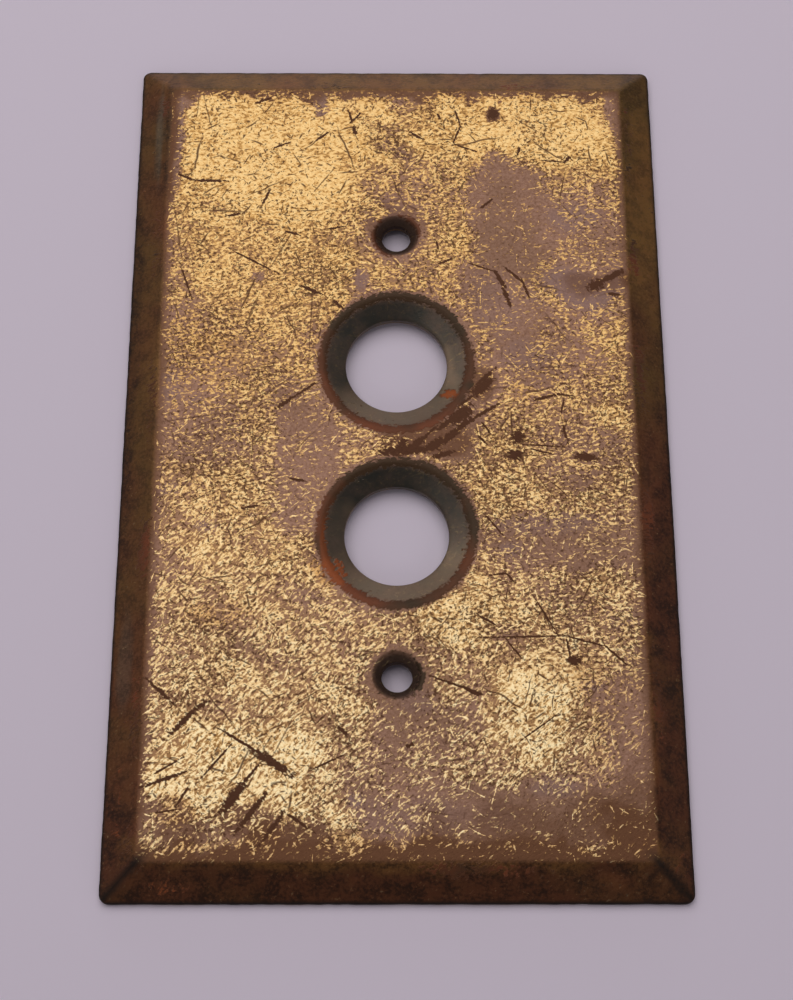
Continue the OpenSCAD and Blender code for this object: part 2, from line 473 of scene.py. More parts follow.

# Patches of darker, browner film, in the same form: grime smears on the face, and painted shade over the
# lower and side borders and along the bottom fold.
GRIME_AND_SHADE = (
    (34, -34, 3, 30, 0.5), (0, -56.5, 36, 2.6, 0.6), (-34.5, -50, 3, 6, 0.5), (-35, 12, 1.6, 30, 0.3),
    (18, -50, 16, 4.5, 0.55), (0, -52.6, 34, 2.3, 0.9), (-18.5, -47.9, 4.5, 2.2, 0.7),
    (-30.3, 46, 1, 9, 0.5), (-27.5, -46.5, 3, 1.5, 0.4), (-12, -49.7, 4, 2, 0.8),
    (-25, -49.2, 4, 1.6, 0.6), (0, 32, 4, 4, 0.5), (4, 1.2, 6, 2.8, 0.8), (10.6, 8.8, 2.2, 1.9, 0.7),
    (28.5, -48, 4, 6, 0.5), (26, 23.2, 3.5, 1.8, 0.6), (15.4, 1.2, 0.9, 0.8, 1),
    (14.9, -1.3, 1.1, 0.7, 1), (21.4, -28.3, 1, 0.7, 0.9), (14.3, -31.5, 1, 0.6, 0.7),
    (13.2, 49, 0.9, 1.2, 1), (24, -1.6, 1.7, 0.5, 0.9), (17.1, -28.5, 0.8, 3.5, 0.4),
    (-11.3, -13.2, 1.1, 1.3, 0.7),
)

# Patches where the film is greyer and bluer.
VIOLET = (
    (-29, 9.4, 1.2, 0.8, 0.8), (-28.8, 7.2, 1.5, 1, 0.7), (-25.5, 6.2, 1, 0.8, 0.6),
    (-29.8, 46, 1.2, 9, 0.6), (-28.6, -6, 1.6, 0.8, 0.9), (-23.6, -11, 1.2, 0.6, 0.9),
    (-18, -9.7, 0.7, 0.4, 0.8), (-5, -45.4, 0.8, 0.7, 0.9), (-4.6, 23.5, 0.9, 2, 0.7),
    (24, 33, 3.5, 2, 0.7), (24, 22.2, 5.5, 3, 0.9), (14, -14, 1.5, 0.9, 0.8), (17, 12.5, 4, 2, 0.5),
    (18.5, -44, 2.6, 1.2, 0.7), (23.5, -31.5, 1.5, 0.6, 0.7), (12.5, 20, 3, 5, 0.4),
    (-1, 33.5, 2.5, 2.5, 0.6), (27.5, -23, 2, 1.6, 0.5), (-10, 50, 1.2, 2.4, 0.6),
    (19, -10.5, 7, 1.4, 0.5), (2.5, -33.5, 2.5, 1.5, 0.4), (2, -47.5, 9, 2.5, 0.4),
)

# Patches where film and brass are stained orange, and one along the top border that is a painted sheen.
AMBER_AND_SHEEN = (
    (-22.5, -22.5, 4, 1.8, 0.7), (-9, -16, 2, 3, 1), (-26, -47, 2.5, 2, 0.6),
    (-13.5, -48.6, 2, 1.2, 0.6), (26.5, -38, 5, 13, 0.55), (0, 54.2, 34, 3.4, 0.45),
    (33, 34, 2.6, 14, 0.5), (0, -51.5, 30, 2.2, 0.7), (-26, 11, 6, 7, 0.3), (7.5, 1, 2, 1.5, 0.5),
    (16, 7.5, 1.8, 1.4, 0.4), (-16, -37, 3, 1.2, 0.3),
)

# Patches of rust on the slopes, and of grey-green patina, in the same form. The second table also paints
# a sheen along the upper left border, and shade on the far side of each button dish.
ORANGE_RUST = (
    (6.8, 7.4, 1.3, 0.8, 0.7), (-7.8, -16.9, 1.5, 1.6, 0.45), (-9, -12.5, 0.5, 3, 0.3),
    (33.2, -51, 1.4, 3, 0.25), (-33.2, -45, 0.7, 6, 0.3), (-27, -55.3, 4, 0.9, 0.3),
)
PATINA_SHADE_AND_SHEEN = (
    (-32, 46, 0.5, 7, 0.45), (-33.2, -28, 1, 6, 0.25), (1, 18.8, 9.5, 4.2, 0.95),
    (-7.5, 13.6, 2.4, 5.5, 0.8), (8.6, 14, 1.6, 5.5, 0.7), (0.5, -4.6, 9.5, 4.2, 0.95),
    (7.9, -9, 2.2, 5, 0.8), (-7.9, -9.5, 1.8, 4.5, 0.5),
)

# Kinds of wear, and painted light and shade. gilt is how much bright brass is left, shade is browner
# film and painted shade near the folds and over the lower and side borders, pale is where the bright
# brass turns paler towards the bottom, lower_left is where the rubbing marks change direction, and
# dish is the openings' slopes.
WEAR_MAPS = (
    "gilt", "shade", "violet", "amber", "pale", "lower_left", "border", "olive", "patina", "dish", "rust",
    "orange", "soot", "back",
)


def soft_patches(x, y, patches, ragged):
    """The sum of soft-edged ellipses whose outlines wander by the given share of their size."""
    total = np.zeros_like(x)
    wander = ragged * plane_waves(x, y, 7.0, 11) + 0.5 * ragged * plane_waves(x, y, 2.5, 12)
    for mid_x, mid_y, half_w, half_h, amount in patches:
        away = np.hypot((x - mid_x) / half_w, (y - mid_y) / half_h) + wander
        total += amount * np.clip((1.25 - away) / 0.5, 0, 1)
    return total


def ramp(value, start, end):
    """0 up to the start, 1 past the end, and a straight line between them. The end may be less."""
    return np.clip((value - start) / (end - start), 0, 1)


def bell(value, half_width):
    """1 at zero, falling off on both sides as the exponential of minus the square."""
    return np.exp(-((value / half_width) ** 2))


def wear_maps(shape, points, normals):
    """How far each kind of wear, and of painted light and shade, goes at each vertex, from 0 to 1, as
    one array for each name in WEAR_MAPS. Each is a ramp or a bell across the distance, in millimetres,
    to a fold, an edge or an opening, made uneven by waves, or a sum of patches."""
    x, y, _ = (points / MM).T
    inset = shape.inset(points[:, 0], points[:, 1]) / MM
    fold_in, fold_out = shape.fold_in / MM, shape.fold_out / MM
    border = ramp(inset, fold_in, fold_out)
    fringe = plane_waves(x, y, 5.0, 21) + 0.6 * plane_waves(x, y, 1.8, 22)
    near_ends = ramp(np.abs(y) + fringe, 50.5, 52)
    past_fold = inset - fold_in + 0.5 - (0.9 + 0.5 * fringe) * near_ends
    past_button = np.hypot(x, np.abs(y) - BUTTON["pos_m"][1] / MM)
    past_button -= BUTTON["dims"]["r_mm"] + shape.sizes.button_slope_w / MM
    past_screw = np.hypot(x, np.abs(y) - SCREWS["dims"]["spacing_y_mm"] / 2)
    past_screw -= SCREWS["dims"]["hole_r_mm"] + shape.sizes.screw_slope_w / MM

    gilt = 0.5 - soft_patches(x, y, TARNISHED, 0.15) + 0.05 * plane_waves(x, y, 6.0, 23)
    gilt -= 0.6 * ramp(past_fold, 1.2, 0)
    gilt -= 0.3 * ramp(past_button, 1.3, 0.6)
    gilt -= 0.4 * ramp(past_screw - 0.4 * fringe, 1.1, 0.2)
    # shade holds grime patches, and painted shade along the folds and over the lower and side borders.
    shade = soft_patches(x, y, GRIME_AND_SHADE, 0.2) + 0.75 * ramp(past_fold, 1.44, 0.24)
    violet, amber = (0.6 * soft_patches(x, y, patches, 0.2) for patches in (VIOLET, AMBER_AND_SHEEN))
    orange, patina = soft_patches(x, y, ORANGE_RUST, 0.2), soft_patches(x, y, PATINA_SHADE_AND_SHEEN, 0.12)
    # The bright brass and its painted highlight turn paler towards the bottom.
    pale = ramp(y, 12, -38)
    lower_left = ramp(0.5 * x + y + 4 * plane_waves(x, y, 20.0, 26), -11, -25)

    # pit is the screw dishes, which are painted near black as shade in the recess.
    dish, pit = ramp(past_button, 0.1, -0.8), ramp(past_screw, 0.1, -0.5)
    screw_rust = bell(past_screw, 0.4) * np.clip(0.45 + 0.4 * plane_waves(x, y, 9.0, 24), 0, 1)
    rust = np.maximum(ramp(np.abs(past_button - 0.02), 1.02, 0.17), screw_rust)
    fold_rust = bell(inset - fold_out + 0.3, 0.9)
    fold_rust *= 0.8 * np.clip(0.1 + 0.55 * plane_waves(x, y, 16.0, 25), 0, 1)
    rust = np.maximum(np.maximum(rust, fold_rust), orange)
    olive = 0.5 * ramp(y, 47, 53)
    olive += 0.85 * ramp(x, 0, 6) * ramp(y, -2, 10)
    olive += 0.6 * ramp(-x, 0, 6) * ramp(y, -50, -30)
    olive *= np.clip(0.8 + 0.35 * plane_waves(x, y, 12.0, 29), 0, 1)
    # Painted shade along the mitres, darker towards the bottom, and a painted shadow along the cut edge.
    off_mitre = shape.half_w / MM - np.abs(x) - (shape.half_h / MM - np.abs(y))
    mitre = bell(off_mitre, 0.8) * ramp(inset, fold_in + 1, fold_in - 0.5)
    soot = np.maximum(0.8 * pit, mitre * np.clip(0.6 - 0.4 * y / 50, 0, 0.9))
    soot = np.maximum(soot, ramp(inset, 0.5, 0.05))
    faces_wall = normals[:, 2] < -0.05
    values = (
        gilt, shade, violet, amber, pale, lower_left, border, olive, patina, dish, rust, orange, soot,
        faces_wall.astype(float),
    )
    return {name: np.clip(value, 0, 1) for name, value in zip(WEAR_MAPS, values, strict=True)}


def store_maps(mesh, maps):
    """Keeps each map as an attribute of the mesh's vertices."""
    for name, values in maps.items():
        attribute = mesh.attributes.new(name, "FLOAT", "POINT")
        attribute.data.foreach_set("value", values.astype(np.float32))


# ---- The finish

# Metallic and roughness of each finish
GLOSS = {
    "film": (0.75, 0.48), "thick_film_and_shade": (0.6, 0.5), "brass": (1.0, 0.36), "grime": (0.7, 0.5),
    "border": (0.6, 0.4), "dish": (0.9, 0.34), "rust": (0.35, 0.55), "soot": (0.6, 0.65),
    "back": (0.8, 0.45),
}

# Scattered strokes: the size of the cell that each one has, its half length and half width, all in
# millimetres, the share of cells that have one, and its heading and spread in degrees
DARK_STROKES = (
    (1.1, (0.42, 0.11), 0.55, 20, 80), (2.6, (1.2, 0.12), 0.5, 25, 85), (7, (3.4, 0.13), 0.5, 30, 85),
)
LIGHT_STROKES = ((1.7, (0.75, 0.08), 0.75, 25, 85), (5, (2.4, 0.08), 0.6, 40, 85))
PITS = (1.9, (0.24, 0.18), 0.5, 0, 180)

# Single cuts, from x and y to x and y, and their width, in millimetres
CUTS = (
    (-21.2, -36.8, -15, -40.6, 0.34), (-17.4, -39.2, -12.6, -42.4, 0.95),
    (-27.2, -37.6, -23.6, -33.8, 0.62), (-24.2, -34.3, -22.8, -33.5, 0.65),
    (-30.2, -30.6, -26.6, -33.9, 0.45), (-23.3, -42.9, -19.9, -38.9, 0.27),
    (-16.1, -40.8, -18.9, -44.2, 0.32), (-17.9, -43.2, -20.7, -46.9, 1.15),
    (-30.3, -43.9, -25, -42, 0.4), (-29, -42.4, -25.6, -40.4, 0.25), (-28.8, -47, -25.8, -46.5, 0.2),
    (-26.2, -46.4, -24.6, -43.8, 0.3), (-15.3, -44.4, -18.9, -49.2, 0.6),
    (-13.3, -46.8, -16, -50.6, 0.5), (-10.2, -41.8, -6.4, -40, 0.24), (-7.2, -36.4, -6, -37.6, 0.5),
    (-13.4, -46.8, -10.2, -48.9, 0.35), (-19.2, 50.5, -17, 51.5, 0.35), (-6.4, 49.2, -5.9, 47.5, 0.3),
    (-6.1, 47.6, -4.8, 49.1, 0.3), (-5.7, 47, -5.5, 45.6, 0.5), (-10.8, 44.7, -9.1, 46.1, 0.3),
    (-16.6, 43.5, -14.5, 44.4, 0.26), (-29.2, 39.4, -26.6, 38.4, 0.32), (-27, 38.5, -23, 38.4, 0.38),
    (-16.8, 37.2, -17.8, 34.8, 0.32), (-22.6, 33, -20.3, 33.5, 0.35), (-14.7, 30.8, -12.8, 30.2, 0.34),
    (-9.2, 31.1, -6.9, 31.5, 0.25), (-21.8, 28, -16.1, 24.8, 0.27), (-12.6, 22.7, -9.6, 21.3, 0.42),
    (-8.2, 20.5, -6.9, 19.3, 0.4), (-28.2, 25.2, -26.8, 21.2, 0.26), (-15.2, 5.2, -13.2, 6.7, 0.5),
    (-13.4, 6.5, -9.8, 9.1, 0.3), (-13.4, -4.6, -11.3, -4.9, 0.35), (-19.5, -8.6, -17.2, -8.2, 0.3),
    (7.9, 50, 8.8, 47, 0.26), (8.8, 47.2, 7.6, 44.1, 0.26), (7.6, 44.3, 11.2, 42.9, 0.24),
    (1.8, 46.1, 3.7, 44.9, 0.3), (5.6, 49.1, 6.1, 47.8, 0.3), (20, 41.7, 22.7, 41.4, 0.26),
    (22.5, 41.3, 23.6, 42.4, 0.45), (16.3, 42.4, 16.7, 43.7, 0.3), (11.1, 34.2, 12.8, 35.7, 0.34),
    (13, 25, 14.3, 22, 0.6), (13.9, 22.6, 14.9, 19.7, 0.55), (14.1, 25.6, 16.7, 23.1, 0.34),
    (16.5, 23.5, 17.5, 20.6, 0.34), (5.4, 25.9, 7.6, 26.8, 0.3), (9.4, 26.1, 13, 24.8, 0.24),
    (5.1, 29.8, 5.7, 27.9, 0.26), (25.2, 22.4, 27.2, 23.4, 1.3), (26.8, 23.3, 29.8, 25, 0.8),
    (27.6, 21.6, 29.2, 21.4, 0.5), (-2.2, -0.9, 4.6, -0.4, 1.3), (0.5, -0.2, 1.2, 1.1, 0.9),
    (1.8, -0.4, 3.7, 1.3, 0.8), (3.4, 1, 5.4, 2.9, 0.3), (3.6, -0.8, 6.2, 1, 1.2),
    (5.6, 0.2, 8.2, 2.6, 0.9), (7.2, 1.8, 9.8, 3.9, 0.8), (9.2, 3.4, 13, 5.7, 0.45),
    (5.2, 2.2, 7.6, 4, 0.7), (6.6, 3.1, 9.6, 5.3, 1.7), (8, 5.4, 10, 7.1, 0.35),
    (9.7, 7, 12.2, 9.2, 1.4), (10.2, 8.4, 12.6, 10.6, 0.5), (4.6, -1.6, 7.2, -0.9, 0.7),
    (10.3, 1.4, 11.4, 0.2, 0.3), (14.6, 1.4, 16.2, 1, 1.6), (13.9, -1.3, 15.9, -1.3, 1.2),
    (12.6, 49.2, 13.8, 48.8, 1.6), (22.6, -1.4, 25.4, -1.8, 0.9), (20.6, -28.2, 22.2, -28.4, 1),
    (17.4, 6.2, 20.6, 7.1, 0.42), (20.4, 7.1, 22.6, 6.9, 0.26), (21.4, 6.3, 20.9, 4.2, 0.25),
    (21.1, 3, 21.6, 0.8, 0.35), (10.9, 3.1, 12, 1.5, 0.28), (16, 0.1, 21.5, -0.2, 0.2),
    (17, -0.5, 20, -1.3, 0.2), (11, -9.4, 13.1, -12, 0.25), (11.5, -17.4, 13.6, -17.1, 0.25),
    (13.4, -17, 14.5, -18.4, 0.28), (16.8, -20.2, 19.7, -25.2, 0.22), (9.7, -22.4, 12.4, -24, 0.28),
    (10.4, -25.4, 20.4, -25.2, 0.22), (20.2, -25.1, 25.6, -26.6, 0.27),
    (25.2, -26.4, 27.7, -28.7, 0.25), (20.6, -25.4, 21.1, -28.2, 0.28),
    (13.4, -25.8, 15.3, -28.3, 0.22), (4.4, -30.4, 9.4, -32.2, 0.3), (8.2, -31.9, 10.1, -32.6, 0.6),
    (14.8, -38.2, 19.1, -35.1, 0.2), (1, -39, 2, -38.6, 0.5),
)

# Hairlines, in the same form
HAIRLINES = (
    (-29.8, 3.2, -21.6, 4.5, 0.2), (-22, 4.3, -17.3, 6.9, 0.2), (-17.7, 6.7, -12.5, 10, 0.2),
    (-26.1, 51.2, -24.9, 46.3, 0.16), (-25.1, 41.9, -23.4, 42.4, 0.15), (-24, 42.4, -19.9, 41, 0.16),
    (-8.6, 40, -11.1, 36.6, 0.18), (-13.6, 31, -16.5, 25.4, 0.2), (-27.1, 30.2, -24.4, 27.4, 0.18),
    (-29.3, 33.2, -28.2, 26.6, 0.18), (-18, 21.2, -19.6, 16.8, 0.3), (-10.8, 26.2, -11.3, 12.4, 0.17),
    (-25.2, 33.9, -19.8, 33.7, 0.25), (-18.4, -16.6, -14.8, -15.6, 0.2),
    (-15.2, -15.7, -10.8, -15, 0.2), (-20.4, -1.4, -18.9, -2.9, 0.2), (-18.2, 4, -18.3, -2.2, 0.16),
    (16.4, 48.1, 19.2, 46.2, 0.18), (17.4, -3.8, 20.2, -7.8, 0.18), (16, -4.8, 16.4, -8.4, 0.18),
    (13.2, -5.8, 14.4, -9.2, 0.24), (26.6, 37.6, 29.9, 38.8, 0.18), (-14.9, -40.4, -12.4, -35.3, 0.18),
    (4.6, -24.8, 6.4, -27.4, 0.2),
)


def add_node(tree, kind, inputs=None, **settings):
    """Adds a shader node. inputs maps socket names or numbers to values, or to what they are linked
    from: an output, or a node, which stands for its first output in use."""
    made = tree.nodes.new("ShaderNode" + kind)
    for name, value in settings.items():
        setattr(made, name, value)
    for key, value in (inputs or {}).items():
        if isinstance(value, bpy.types.Node):
            value = next(output for output in value.outputs if output.enabled)
        if isinstance(value, bpy.types.NodeSocket):
            tree.links.new(value, made.inputs[key])
        else:
            made.inputs[key].default_value = value
    return made


def scattered_strokes(add, place, cell, size, keep, heading, spread):
    """Short strokes scattered one to a cell, 1 in the middle of a stroke and 0 outside it. A stroke
    is an ellipse of 0.5 to 1.4 times the given half length and half width, in millimetres, turned
    from the heading by up to the spread, in degrees. keep is the share of cells that have one."""
    heading, spread = math.radians(heading), math.radians(spread)
    cells = add("TexVoronoi", {"Vector": place, "Scale": 1 / cell}, voronoi_dimensions="2D")
    draw = add("SeparateColor", {0: cells.outputs["Color"]})
    away = add("VectorMath", {0: place, 1: cells.outputs["Position"]}, operation="SUBTRACT")
    widest = {0: draw.outputs[0], 1: 2 * spread, 2: -heading - spread}
    turn = add("Math", widest, operation="MULTIPLY_ADD")
    turned = add("VectorRotate", {"Vector": away, "Angle": turn}, rotation_type="Z_AXIS")
    shrink = (1 / size[0], 1 / size[1], 0)
    scaled = add("VectorMath", {0: turned, 1: shrink}, operation="MULTIPLY")
    reach = add("VectorMath", {0: scaled}, operation="LENGTH").outputs["Value"]
    bulk = add("Math", {0: draw.outputs[2], 1: 0.9, 2: 0.5}, operation="MULTIPLY_ADD")
    part = add("Math", {0: reach, 1: bulk}, operation="DIVIDE")
    stroke = add("MapRange", {"Value": part, "From Min": 1.0, "From Max": 0.45})
    present = add("Math", {0: draw.outputs[1], 1: keep}, operation="LESS_THAN")
    return add("Math", {0: stroke, 1: present}, operation="MULTIPLY")


def placed_strokes(add, place, strokes, edge):
    """The given strokes, 1 on their floors and 0 outside. Each is an ellipse round the line from its
    first point to its second, whose outline sways with the noise given as the edge. One vector goes
    from stroke to stroke: x and y stay, and z keeps the least distance so far, so that the renderer
    works on one stroke at a time and its small stack is enough."""
    far, sway = 1e6, 2.6
    outline = 1.25 + sway / 2
    carried = add("VectorMath", {0: place, 1: (0, 0, far)}, operation="ADD")
    for from_x, from_y, to_x, to_y, wide in strokes:
        run_x, run_y = to_x - from_x, to_y - from_y
        own = add("Mapping", {
            "Vector": carried, "Location": ((from_x + to_x) / 2, (from_y + to_y) / 2, 0),
            "Rotation": (0, 0, math.atan2(run_y, run_x)),
            "Scale": (math.hypot(run_x, run_y) / 2, wide / 2, far**2),
        }, vector_type="TEXTURE")
        reach = add("VectorMath", {0: own}, operation="LENGTH").outputs["Value"]
        found = add("CombineXYZ", {0: far, 1: far, 2: reach})
        carried = add("VectorMath", {0: carried, 1: found}, operation="MINIMUM")
    nearest = add("SeparateXYZ", {0: carried}).outputs["Z"]
    ragged = add("Math", {0: edge, 1: sway, 2: nearest}, operation="MULTIPLY_ADD")
    return add("MapRange", {
        "Value": ragged, "From Min": outline, "From Max": outline - 0.3,
    })


def aged_brass(finish):
    """Rolled sheet brass, pressed and once lacquered, with the lacquer rubbed off and the metal
    tarnished. To the eye: specks and short fibres of clean brass over a brown and mauve film, with
    dark grime in the scratches, browner slopes, and grey slopes round the openings that rust edges.
    The colour also holds painted highlights on the brightest grains and the top border, and painted
    shade at the folds, the lower borders, the dishes' far sides, the mitres, screw dishes and cut edge."""
    material = bpy.data.materials.new("aged_brass_sheet")
    material.use_nodes = True
    tree = material.node_tree
    tree.nodes.clear()
    add = partial(add_node, tree)
    wear = {name: add("Attribute", attribute_name=name).outputs["Fac"] for name in WEAR_MAPS}
    colours = {name: (*getattr(finish, name), 1) for name in finish.__annotations__}

    # Places in millimetres, and the same places bent a little, so that no stroke runs quite straight
    coords = add("TexCoord")
    place = add("Mapping", {"Vector": coords.outputs["Object"], "Scale": (1 / MM,) * 3})
    drift = add("TexNoise", {"Vector": place, "Scale": 1 / 4.5, "Detail": 2.0})
    middle = (0.5, 0.5, 0.5)
    centred = add("VectorMath", {0: drift.outputs["Color"], 1: middle}, operation="SUBTRACT")
    bent = add("VectorMath", {0: centred, 1: (1.5, 1.5, 0), 2: place}, operation="MULTIPLY_ADD")

    # The rubbing marks: specks and fibres 0.2 to 0.5 mm wide, drawn out in three directions. Real
    # ones go down to hundredths of a millimetre, so these are as coarse as they need to show.
    grains = []
    for heading, long, wide in ((10, 0.72, 0.36), (42, 0.85, 0.36), (-38, 0.6, 0.36)):
        lay = add("Mapping", {
            "Vector": bent, "Rotation": (0, 0, math.radians(heading)), "Scale": (long, wide, 1.5),
        }, vector_type="TEXTURE")
        grains.append(add("TexNoise", {
            "Vector": lay, "Scale": 1.0, "Detail": 2.0, "Roughness": 0.65,
        }))
    main = add("Mix", {0: wear["lower_left"], 2: grains[0], 3: grains[1]})
    grain = add("Mix", {0: 0.3, 2: main, 3: grains[2]})
    grit, mottle, cloud = (
        add("TexNoise", {"Vector": place, "Scale": 1 / size, "Detail": 3.0, "Roughness": rough})
        for size, rough in ((0.4, 0.7), (2.2, 0.6), (9, 0.55))
    )

    # Strokes: dark ones and pits everywhere, light ones that show where the film is thick
    dark = scattered_strokes(add, place, *PITS)
    for stroke in DARK_STROKES:
        dark = add("Math", {0: dark, 1: scattered_strokes(add, bent, *stroke)}, operation="MAXIMUM")
    fine, coarse = (scattered_strokes(add, bent, *stroke) for stroke in LIGHT_STROKES)
    light = add("Math", {0: fine, 1: coarse}, operation="MAXIMUM")
    cuts, hairs = (placed_strokes(add, place, strokes, grains[2]) for strokes in (CUTS, HAIRLINES))
    hairs = add("Math", {0: hairs, 1: 0.8}, operation="MULTIPLY")
    dark = add("Math", {0: dark, 1: hairs}, operation="MAXIMUM")

    # Bright brass shows where the grain stands above a level that falls as more of it is left
    share = add("Math", {0: mottle, 1: 1.2, 2: wear["gilt"]}, operation="MULTIPLY_ADD")
    level = add("MapRange", {
        "Value": share, "From Min": 0.6, "From Max": 1.6, "To Min": 0.63, "To Max": 0.39,
    })
    above = add("Math", {0: grain, 1: level}, operation="SUBTRACT")
    above = add("Math", {0: light, 1: 0.13, 2: above}, operation="MULTIPLY_ADD")
    bright = add("MapRange", {"Value": above, "From Min": -0.03, "From Max": 0.04})
    # Painted highlight: the grains that stand highest take the paler glint colour.
    painted_glint = add("MapRange", {"Value": above, "From Min": 0.0, "From Max": 0.15})
    grimy = add("MapRange", {
        "Value": cloud, "From Min": 0.35, "From Max": 0.65, "To Min": 0.39, "To Max": 0.47,
    })
    amount = add("MapRange", {
        "Value": wear["gilt"], "From Min": 0.1, "From Max": 0.45, "To Min": -0.13, "To Max": 0.0,
    })
    grimy = add("Math", {0: grimy, 1: amount}, operation="ADD")
    thinner = add("MapRange", {
        "Value": wear["gilt"], "From Min": 0.6, "From Max": 0.9, "To Max": -0.03,
    })
    grimy = add("Math", {0: grimy, 1: thinner}, operation="ADD")
    specks = add("Math", {0: grimy, 1: grit}, operation="SUBTRACT")
    specks = add("MapRange", {"Value": specks, "From Min": -0.02, "From Max": 0.04})

    def cover(under, mask, colour, finish_name):
        """Lays a finish over another, which is its colour and its gloss, where the mask is 1."""
        mixed = add("Mix", {0: mask, 6: under[0], 7: colour}, data_type="RGBA")
        gloss = (*GLOSS[finish_name], 0)
        glossy = add("Mix", {0: mask, 4: under[1], 5: gloss}, data_type="VECTOR")
        return mixed, glossy

    # The face: film in two browns, yellower where much brass is left, and darker with grime and with
    # painted shade near the folds
    hue = add("MapRange", {"Value": cloud, "From Min": 0.38, "From Max": 0.62})
    film = add("Mix", {
        0: hue, 6: colours["tarnish"], 7: colours["tarnish_warm"],
    }, data_type="RGBA")
    uneven = add("MapRange", {
        "Value": grit, "From Min": 0.36, "From Max": 0.6, "To Min": 0.5, "To Max": 0.0,
    })
    yellowed = add("MapRange", {
        "Value": wear["gilt"], "From Min": 0.4, "From Max": 0.9, "To Max": 0.9,
    })
    for mask, over in ((uneven, "tarnish_dark"), (yellowed, "gold_deep"), (wear["violet"], "violet")):
        film = add("Mix", {0: mask, 6: film, 7: colours[over]}, data_type="RGBA")
    # Bright brass, and the painted highlight colour of its brightest grains, both paler towards the
    # bottom.
    gold, painted_shine = (
        add("Mix", {0: wear["pale"], 6: colours[near], 7: colours[far]}, data_type="RGBA")
        for near, far in (("gold", "gold_pale"), ("painted_glint", "painted_glint_pale"))
    )
    for mask, over in ((painted_glint, painted_shine), (wear["amber"], colours["amber"])):
        gold = add("Mix", {0: mask, 6: gold, 7: over}, data_type="RGBA")
    face = (film, (*GLOSS["film"], 0))
    # Painted shade with grime: the shade map darkens the film near the folds, at the bottom and in
    # smears.
    face = cover(face, wear["shade"], colours["tarnish_dark"], "thick_film_and_shade")
    face = cover(face, bright, gold, "brass")
    filled = add("Math", {0: specks, 1: 0.85}, operation="MULTIPLY")
    on_brass = add("MapRange", {
        "Value": wear["gilt"], "From Min": 0.1, "From Max": 0.5, "To Min": 0.25, "To Max": 0.85,
    })
    lines = add("Math", {0: dark, 1: on_brass}, operation="MULTIPLY")
    filled = add("Math", {0: filled, 1: lines}, operation="MAXIMUM")
    filled = add("Math", {0: filled, 1: cuts}, operation="MAXIMUM")
    face = cover(face, filled, colours["grime"], "grime")

    # The slopes: brown film with olive and grey-green patches, through which some brass glints
    clouded = add("MapRange", {
        "Value": cloud, "From Min": 0.35, "From Max": 0.65, "To Min": -0.25, "To Max": 0.25,
    })
    olive = add("Math", {0: wear["olive"], 1: clouded}, operation="ADD", use_clamp=True)
    # Painted shade: where the shade map is high, over the lower and side borders, the slopes darken
    # towards near black, with random smut.
    murk = add("MapRange", {"Value": wear["shade"], "From Min": 0.7, "To Max": 0.35})
    smut = add("Math", {0: grit, 1: mottle}, operation="ADD")
    smut = add("MapRange", {
        "Value": smut, "From Min": 0.8, "From Max": 1.1, "To Min": 0.45, "To Max": 0.0,
    })
    murk = add("Math", {0: murk, 1: smut}, operation="ADD")
    brown = colours["border"]
    # The amber patch along the top border is a painted sheen.
    for mask, over in (
        (olive, "border_olive"), (wear["amber"], "amber"), (wear["patina"], "patina"), (murk, "soot"),
    ):
        brown = add("Mix", {0: mask, 6: brown, 7: colours[over]}, data_type="RGBA")
    patchy = add("MapRange", {
        "Value": grit, "From Min": 0.5, "From Max": 0.7, "To Min": 1.0, "To Max": 0.72,
    })
    on_border = add("Math", {
        0: wear["border"], 1: 1.6, 2: -0.15,
    }, operation="MULTIPLY_ADD", use_clamp=True)
    on_border = add("Math", {0: on_border, 1: patchy}, operation="MULTIPLY")
    face = cover(face, on_border, brown, "border")
    # Painted shade: the far side of each button dish turns darker and bluer.
    bluish = add("Mix", {
        0: wear["patina"], 6: colours["steel"], 7: colours["steel_blue"],
    }, data_type="RGBA")
    worn = add("MapRange", {"Value": mottle, "From Min": 0.35, "From Max": 0.65, "To Min": 0.8})
    drawn = add("Math", {0: wear["dish"], 1: worn}, operation="MULTIPLY")
    face = cover(face, drawn, bluish, "dish")
    rusty = add("Math", {0: mottle, 1: 1.0, 2: wear["rust"]}, operation="MULTIPLY_ADD")
    rusty = add("Math", {0: grain, 1: 2.6, 2: rusty}, operation="MULTIPLY_ADD")
    rusty = add("MapRange", {"Value": rusty, "From Min": 2.2, "From Max": 2.45})
    # The same painted shade darkens the rust on the far side of the dishes.
    old = add("Math", {0: hue, 1: wear["patina"]}, operation="MAXIMUM")
    reds = colours["rust"]
    for mask, over in ((old, "rust_dark"), (wear["orange"], "rust_orange")):
        reds = add("Mix", {0: mask, 6: reds, 7: colours[over]}, data_type="RGBA")
    face = cover(face, rusty, reds, "rust")
    # Painted shade and shadow: the cut edge, the mitres and the screw dishes go near black.
    face = cover(face, wear["soot"], colours["soot"], "soot")
    dull = add("Math", {0: mottle, 1: 0.5, 2: cloud}, operation="MULTIPLY_ADD")
    dull = add("MapRange", {"Value": dull, "From Min": 0.65, "From Max": 0.85})
    behind = add("Mix", {
        0: dull, 6: colours["back"], 7: colours["back_dark"],
    }, data_type="RGBA")
    colour, gloss = cover(face, wear["back"], behind, "back")

